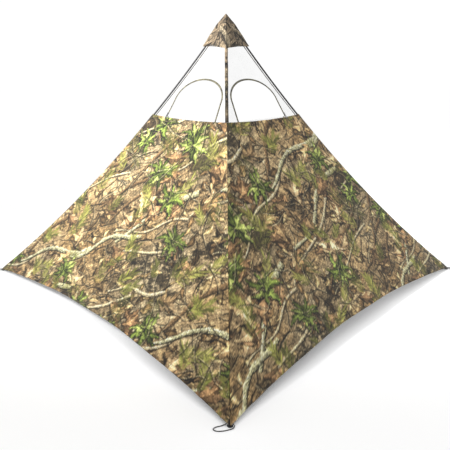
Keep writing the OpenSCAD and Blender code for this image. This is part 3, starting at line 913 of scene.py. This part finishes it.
def zip_half(side, leg):
    """The zipper's tape, with a raised coil down its middle."""
    q, p = np.meshgrid(half_range(leg, ZIP_COLS), np.linspace(0, 1, ZIP_ROWS))
    (sa, za), (sb, zb) = window_at(q, 0.0), window_at(q, ZIP_W)
    s, z = sa + (sb - sa) * p, za + (zb - za) * p
    teeth = 0.75 + 0.25 * np.cos(2 * math.pi * q * ZIP_TEETH)
    coil = 0.0012 * np.exp(-((p - 0.5) / 0.16) ** 2) * teeth
    outer = wall_pt(s, NET_OFF + 0.0012 + coil, z, SIDES[side])
    inner = wall_pt(s, NET_OFF - 0.0010, z, SIDES[side])
    uv = np.stack([q * 1.2, p * ZIP_W], -1)
    piece = shell(f"{side}_zip_{half_of(leg)}", outer, inner, uv, (ZIP,), flip=SIDES[side] > 0)
    follow(piece)
    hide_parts(f"{side}_zipper")
    return piece


def edge_tape(side):
    """Folded binding along the netting's free edge, beside the bare pole."""
    u, v = np.meshgrid(np.linspace(0, 1, 7), np.linspace(0, 1, 90))
    z = RAIL_Z - 0.004 + (CAP_Z + NET_TOP - RAIL_Z) * v
    s = half_span(z) - TAPE_AT + TAPE_W * u
    puff = 0.0009 * np.sin(math.pi * u) + 0.0002 * np.sin(60 * v)
    outer = wall_pt(s, NET_OFF + 0.0006 + puff, z, SIDES[side])
    inner = wall_pt(s, NET_OFF - 0.0004 - puff, z, SIDES[side])
    uv = np.stack([0.3 + TAPE_W * u, 0.9 * v + 0.2], -1)
    colour = brown_print(uv[..., 0], uv[..., 1], TAPE_TINT)
    piece = shell(f"{side}_edge_binding", outer, inner, uv, (CAMO,), colour, flip=SIDES[side] > 0)
    follow(piece)
    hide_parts(f"{side}_edge_tape")
    return piece


for side in SIDES:
    net_half(side, "front", [zip_half(side, "front")])
    net_half(side, side, [zip_half(side, side), edge_tape(side)])

# --- peak cap --------------------------------------------------------------------------------

CAP_FRONT_OFF = 0.020
# Corners of the cap from the hub's axis, x and y: at its hem, at the hinge pins' height, at its tip
CAP_LOW = {"side": (0.132, 0.039), "back": (0.0, 0.043)}
CAP_KNEE = {"front": (0.0, -PIVOT_R - CAP_FRONT_OFF), "side": (0.054, 0.0185), "back": (0.0, 0.0215)}
CAP_TIP = {"front": (0.0, -0.002), "side": (0.002, 0.0005), "back": (0.0, 0.002)}
# How far the hem is cut up at the back, and dips at the front corner
CAP_BACK_LIFT = 0.048
CAP_DIP = 0.013
CAP_THICK = 0.0012
CAP_TINT = 0.50
CAP_ROWS, CAP_COLS = 60, 34
CAP_INSIDE_TOP = 0.985
CAP_AROUND = {"front": ("left", "front", "right"), "left": ("back", "left", "front"),
              "right": ("front", "right", "back")}


def cap_corner(name, z, inset):
    """A corner of the cap's outline at height z, from the hub's axis."""
    kind = name if name in ("front", "back") else "side"
    close = np.clip((z - PIVOT_Z) / (PEAK_Z - PIVOT_Z), 0, 1)[..., None]
    rise = np.clip((z - CAP_Z) / (PIVOT_Z - CAP_Z), 0, 1)[..., None]
    knee, tip = np.array(CAP_KNEE[kind]), np.array(CAP_TIP[kind])
    if kind == "front":
        r = leg_r(np.minimum(z, PIVOT_Z)) + CAP_FRONT_OFF
        low = np.stack([np.zeros_like(r), -r], -1)
        return low + (tip - knee) * close + [0.0, inset / math.cos(HALF_WALL)]
    low = np.array(CAP_LOW[kind])
    p = low + (knee - low) * rise + (tip - knee) * close
    if kind == "back":
        return p - [0.0, inset]
    return (p - [2 * inset, inset]) * [-1.0 if name == "left" else 1.0, 1.0]


def cap_side(a, b, t, v, inset):
    """Points of the cap between two corners, at t across and v up, and their height."""
    if "back" in (a, b):
        lift = CAP_BACK_LIFT * (t if b == "back" else 1 - t)
    else:
        lift = 0.003 * np.sin(math.pi * t) ** 2 - CAP_DIP * (t if b == "front" else 1 - t)
    z = (CAP_Z + lift) + (PEAK_Z - 2.5 * inset - CAP_Z - lift) * v
    pa, pb = cap_corner(a, z, inset), cap_corner(b, z, inset)
    p = pa + (pb - pa) * t[..., None]
    puff = 0.0022 * np.sin(math.pi * t) * np.sin(math.pi * v) + 0.0007 * np.sin(9 * t + 16 * v)
    away = p / np.maximum(np.linalg.norm(p, axis=-1, keepdims=True), 1e-6)
    p = p + away * (puff * (1 - v) ** 0.5)[..., None]
    return np.concatenate([p, z[..., None]], -1) + np.array([0, HUB_Y, 0])


def cap_sector(leg):
    """The part of the cap next to one leg, from the middle of one side to the next."""
    before, here, after = CAP_AROUND[leg]
    reach = [1.0 if end == "back" else 0.5 for end in (before, after)]
    spans = ((before, here, 1 - reach[0], 1.0), (here, after, 0.0, reach[1]))
    parts = []
    for inset, top in ((0.0, 1.0), (CAP_THICK, CAP_INSIDE_TOP)):
        cells = []
        for first, second, side_from, side_to in spans:
            t, v = np.meshgrid(np.linspace(side_from, side_to, CAP_COLS), np.linspace(0, top, CAP_ROWS))
            cells.append((cap_side(first, second, t, v, inset), t if second == here else 1 - t, v))
        parts.append([np.concatenate([a, b[:, 1:]], 1) for a, b in zip(*cells)])
    (outer, near, v), (inner, _, _) = parts
    hem_steps = np.linalg.norm(np.diff(outer[0], axis=0, prepend=outer[0][:1]), axis=1)
    uv = np.stack([np.cumsum(hem_steps)[None, :] * (1 - v) + 0.9, 0.55 + (outer[..., 2] - CAP_Z)], -1)
    piece = shell(f"peak_cap_{leg}", outer, inner, uv, (CAMO, BLACK),
                  brown_print(uv[..., 0], uv[..., 1], CAP_TINT))
    follow(piece)
    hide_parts("peak_cap")


for leg in LEGS:
    cap_sector(leg)

# --- window doors and zipper sliders ---------------------------------------------------------

# The hinge line's distance outside the poles' plane, and how far below it the door starts
HINGE_OFF = 0.007
DROP = 0.003
DOOR_THICK = 0.0004
DOOR_COLS, DOOR_ROWS = 121, 26
DOOR_ZIP_COLS, DOOR_ZIP_ROWS = 241, 5
# The netting's lean from upright beside the window
NARROWING = half_span(RAIL_Z) - half_span(RAIL_Z + WINDOW_SIDE)
LEAN = math.atan(NARROWING / math.tan(HALF_WALL) / WINDOW_SIDE)


def door_wave(s, drop):
    """The waves in which a door hangs, deeper further down and only outwards."""
    low = np.clip(drop / 0.3, 0, 1)
    return 0.0035 * low * (1 - np.cos(21 * s)) + 0.002 * low * np.sin(34 * s + 2) ** 2


def door(side):
    """Netting door, hanging open inside from its lower edge, with its half of the zipper."""
    sign = SIDES[side]
    slope = 1 / math.cos(LEAN)

    def outline(q, grow):
        s, z = window_at(q, grow)
        s = s + WINDOW_SHIFT
        return s, np.maximum((z - RAIL_Z) * slope, 0) + DROP

    def at(s, drop, out):
        p = wall_pt(s - WINDOW_SHIFT, HINGE_OFF + out, np.full_like(s, RAIL_Z), sign)
        p[..., 2] = RAIL_Z - drop
        return p

    q, p = np.meshgrid(np.linspace(0, 1, DOOR_COLS), np.linspace(0, 1, DOOR_ROWS))
    so, do = outline(q, -0.002)
    s, drop = so * p, DROP + (do - DROP) * p
    wave, half = door_wave(s, drop), DOOR_THICK / 2
    door_area = cut_area(at(s, drop, 0 * s))
    net = shell(f"{side}_door_net", at(s, drop, wave + half), at(s, drop, wave - half),
                np.stack([s, drop], -1), (NET,), flip=sign < 0)
    q, p = np.meshgrid(np.linspace(0, 1, DOOR_ZIP_COLS), np.linspace(0, 1, DOOR_ZIP_ROWS))
    s, drop = outline(q, -0.006 + 0.008 * p)
    wave = door_wave(s, drop)
    bead = 0.0008 + 0.0004 * np.sin(math.pi * p)
    tape = shell(f"{side}_door_zip", at(s, drop, wave + bead), at(s, drop, wave - bead),
                 np.stack([q * 0.9, p * 0.008], -1), (ZIP,), flip=sign < 0)
    middle = tuple(at(np.full(1, WINDOW_SHIFT), np.zeros(1), 0.0)[0])
    for piece, node, slot in ((net, "flap", "netting"), (tape, "flap_tape", "binding")):
        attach(piece, f"{side}_window_door")
        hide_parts(f"{side}_{node}")
        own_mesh(piece)


def zip_part(side, part):
    """A slider or its pull, copied from its CAD node in steel and attached to the slider's body. It
    works out where the netting under it goes as the legs fold, but does not move it there."""
    node = frame["nodes"][f"{side}_{part}"]
    piece = bpy.data.objects.new(f"{side}_zip_{part}", node.data.copy())
    bpy.context.collection.objects.link(piece)
    piece.data.materials.clear()
    piece.data.materials.append(STEEL)
    at = sum(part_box(f"{side}_slider"), Vector()) / 2
    along = Vector((SIDES[side] * WALL_T[0], WALL_T[1], 0))
    s = (at - Vector(wall_pt(np.zeros(1), NET_OFF, np.full(1, at.z), SIDES[side])[0])).dot(along)
    turn = LEG_FOLD * float(leg_weight(s, at.z))
    az = math.radians(AZIMUTH[side])
    out = Vector((math.cos(az), math.sin(az), 0))
    arm = at - (Vector((0, HUB_Y, PIVOT_Z)) + PIVOT_R * out)
    r, down = arm.dot(out), -arm.z
    drawn = (r * math.cos(turn) - down * math.sin(turn) - r) * out
    drawn.z = down - (down * math.cos(turn) + r * math.sin(turn))
    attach(piece, f"{side}_zip_slider")
    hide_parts(f"{side}_{part}")
    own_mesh(piece)


for side in SIDES:
    door(side)
    zip_part(side, "slider")
    zip_part(side, "pull")

# --- carried-over CAD nodes ------------------------------------------------------------------

def dress(node, m):
    """Give a CAD node a material."""
    mesh = frame["nodes"][node].data
    mesh.materials.clear()
    mesh.materials.append(m)


for leg in LEGS:
    for part in ("knuckle", "pole_tip"):
        dress(f"{leg}_{part}", MOULDED)
    for part in ("upper", "middle", "lower"):
        dress(f"{leg}_pole_{part}", ROD)
    dress(f"{leg}_ferrules", STEEL)
    dress(f"{leg}_shock_cord", ELASTIC)
for node in ("hub_body", "hub_plate"):
    dress(node, MOULDED)
for node in ("hub_screw", "hub_pins"):
    dress(node, STEEL)
for loop in loops:
    loop.data.materials.append(CORD)

# --- floor and light -------------------------------------------------------------------------

FLOOR_HALF = 40
SKY_STRENGTH = 1.04
KEY_AT, KEY_AIM = (-3.0, -1.3, 3.1), (-0.7, 0.6, 1.45)
KEY_SIZE, KEY_POWER, KEY_SPREAD = 1.2, 42, math.radians(54)


def make_floor():
    mesh = bpy.data.meshes.new("floor")
    corners = [(x * FLOOR_HALF, y * FLOOR_HALF, 0) for x, y in ((-1, -1), (1, -1), (1, 1), (-1, 1))]
    mesh.from_pydata(corners, [], [(0, 1, 2, 3)])
    m, _, shader = material("floor_paint", (0.97, 0.97, 0.97), 0.9)
    shader.inputs["Specular IOR Level"].default_value = 0.0
    mesh.materials.append(m)
    floor = bpy.data.objects.new("floor", mesh)
    bpy.context.collection.objects.link(floor)


def make_light():
    """White surroundings, and one soft lamp from the upper left, on the left wall."""
    world = bpy.data.worlds.new("studio")
    bpy.context.scene.world = world
    world.use_nodes = True
    sky = world.node_tree.nodes["Background"]
    sky.inputs["Color"].default_value = (1, 1, 1, 1)
    sky.inputs["Strength"].default_value = SKY_STRENGTH
    data = bpy.data.lights.new("key", "AREA")
    data.shape = "DISK"
    data.size = KEY_SIZE
    data.spread = KEY_SPREAD
    data.energy = KEY_POWER
    lamp = bpy.data.objects.new("key", data)
    lamp.location = KEY_AT
    lamp.rotation_euler = (Vector(KEY_AIM) - Vector(KEY_AT)).to_track_quat("-Z", "Y").to_euler()
    bpy.context.collection.objects.link(lamp)
    bpy.context.scene.view_settings.view_transform = "Standard"


make_floor()
make_light()
